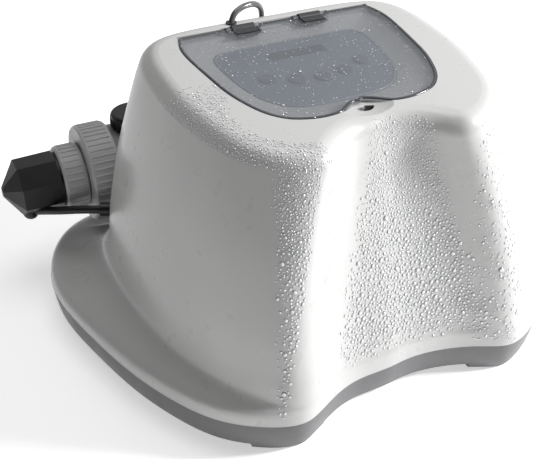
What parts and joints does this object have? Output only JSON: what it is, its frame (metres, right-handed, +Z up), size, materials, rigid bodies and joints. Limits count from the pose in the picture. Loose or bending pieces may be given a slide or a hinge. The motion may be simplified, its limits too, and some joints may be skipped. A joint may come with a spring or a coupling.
{
  "type": "salt chlorine generator",
  "caption": "Pool salt chlorine generator: fluted housing on a splayed base, hinged smoked lid over a control panel, flow-through cell across its back.",
  "frame": {"origin": "on the ground under the middle of the whole unit", "axes": "+Z up, the fluted front faces -Y, the cell's cable end points to -X"},
  "size_m": [0.424, 0.3261, 0.2272],
  "materials": {
    "white_plastic": "satin, lightly crowned mould finish",
    "grey_plastic": "fine matt texture",
    "soft_pad": "matt",
    "steel": "turned",
    "smoked_lid": "clear smoked polycarbonate",
    "dark_plastic": "fine matt",
    "panel_blue_grey": "satin film",
    "display_glass": "smoked window",
    "lens": "clear",
    "button_rubber": "soft matt",
    "circuit_board": "solder mask",
    "brass": "turned",
    "core_steel": "laminated",
    "coil_tape": "wrapped tape",
    "aluminium": "extruded",
    "relay_blue": "gloss",
    "terminal_green": "gloss",
    "ribbon_grey": "ribbed",
    "pipe_grey": "moulded",
    "collar_grey": "moulded, fine grip ribs",
    "seal_rubber": "matt",
    "titanium": "coated mesh",
    "black_plastic": "satin",
    "black_cable": "satin jacket",
    "grey_cable": "gloss jacket"
  },
  "bodies": {
    "housing": {"upper_housing": "white_plastic", "base_tray": "grey_plastic", "foot_pads": "soft_pad", "housing_screws": "steel", "lid_hinge_pins": "steel", "hinge_brackets": "dark_plastic", "control_panel": "panel_blue_grey", "display_window": "display_glass", "display_module": "dark_plastic", "status_lenses": "lens", "control_board": "circuit_board", "button_switches": "dark_plastic", "panel_screws": "steel", "board_standoffs": "brass", "power_board": "circuit_board", "board_screws": "steel", "transformer_core": "core_steel", "transformer_coil": "coil_tape", "heat_sink": "aluminium", "rectifier": "dark_plastic", "capacitors": "dark_plastic", "relay": "relay_blue", "terminal_block": "terminal_green", "fuse": "lens", "ribbon_cable": "ribbon_grey", "cell_chamber": "pipe_grey", "chamber_screws": "steel", "union_o_ring": "seal_rubber", "end_cap_o_ring": "seal_rubber", "chamber_end_cap": "collar_grey", "union_ring": "pipe_grey", "cell_head": "collar_grey", "cell_o_ring": "seal_rubber", "electrode_plates": "titanium", "electrode_spacers": "collar_grey", "terminal_studs": "titanium", "cell_cap": "black_plastic", "flow_sensor_body": "black_plastic", "flow_sensor_seal": "seal_rubber", "flow_sensor_nut": "black_plastic", "paddle_pin": "steel", "cell_cable_gland": "black_plastic", "mains_gland": "black_plastic", "loop_grommet": "dark_plastic", "cell_cable": "black_cable", "sensor_cable": "grey_cable", "cell_nut_seal": "seal_rubber"},
    "lid": {"lid": "smoked_lid"},
    "power_button": {"power_button": "button_rubber"},
    "up_button": {"up_button": "button_rubber"},
    "boost_button": {"boost_button": "button_rubber"},
    "down_button": {"down_button": "button_rubber"},
    "lock_button": {"lock_button": "button_rubber"},
    "union_nut": {"union_nut": "collar_grey"},
    "cell_nut": {"cell_nut": "collar_grey"},
    "flow_paddle": {"flow_paddle": "black_plastic"}
  },
  "joints": [
    {"name": "lid_hinge", "type": "hinge", "parent": "housing", "child": "lid", "pos_m": [0, 0.04871, 0.21317], "axis": [-1, 0, 0], "range_deg": [0, 100]},
    {"name": "power_press", "type": "slide", "parent": "housing", "child": "power_button", "axis": [0, 0.0995, -0.995], "range_m": [0, 0.0008], "stiffness_N_per_m": 600, "springref_m": -0.0006},
    {"name": "up_press", "type": "slide", "parent": "housing", "child": "up_button", "axis": [0, 0.0995, -0.995], "range_m": [0, 0.0008], "stiffness_N_per_m": 600, "springref_m": -0.0006},
    {"name": "boost_press", "type": "slide", "parent": "housing", "child": "boost_button", "axis": [0, 0.0995, -0.995], "range_m": [0, 0.0008], "stiffness_N_per_m": 600, "springref_m": -0.0006},
    {"name": "down_press", "type": "slide", "parent": "housing", "child": "down_button", "axis": [0, 0.0995, -0.995], "range_m": [0, 0.0008], "stiffness_N_per_m": 600, "springref_m": -0.0006},
    {"name": "lock_press", "type": "slide", "parent": "housing", "child": "lock_button", "axis": [0, 0.0995, -0.995], "range_m": [0, 0.0008], "stiffness_N_per_m": 600, "springref_m": -0.0006},
    {"name": "union_nut_turn", "type": "hinge", "parent": "housing", "child": "union_nut", "pos_m": [-0.133, 0.115, 0.085], "axis": [-1, 0, 0], "range_deg": [0, 60]},
    {"name": "paddle_swing", "type": "hinge", "parent": "housing", "child": "flow_paddle", "pos_m": [-0.097, 0.115, 0.117], "axis": [0, 1, 0], "range_deg": [0, 30], "stiffness_Nm_per_rad": 0.002, "springref_deg": -5.73},
    {"name": "cell_nut_turn", "type": "hinge", "parent": "housing", "child": "cell_nut", "pos_m": [-0.156, 0.115, 0.085], "axis": [-1, 0, 0], "range_deg": [0, 60]}
  ]
}
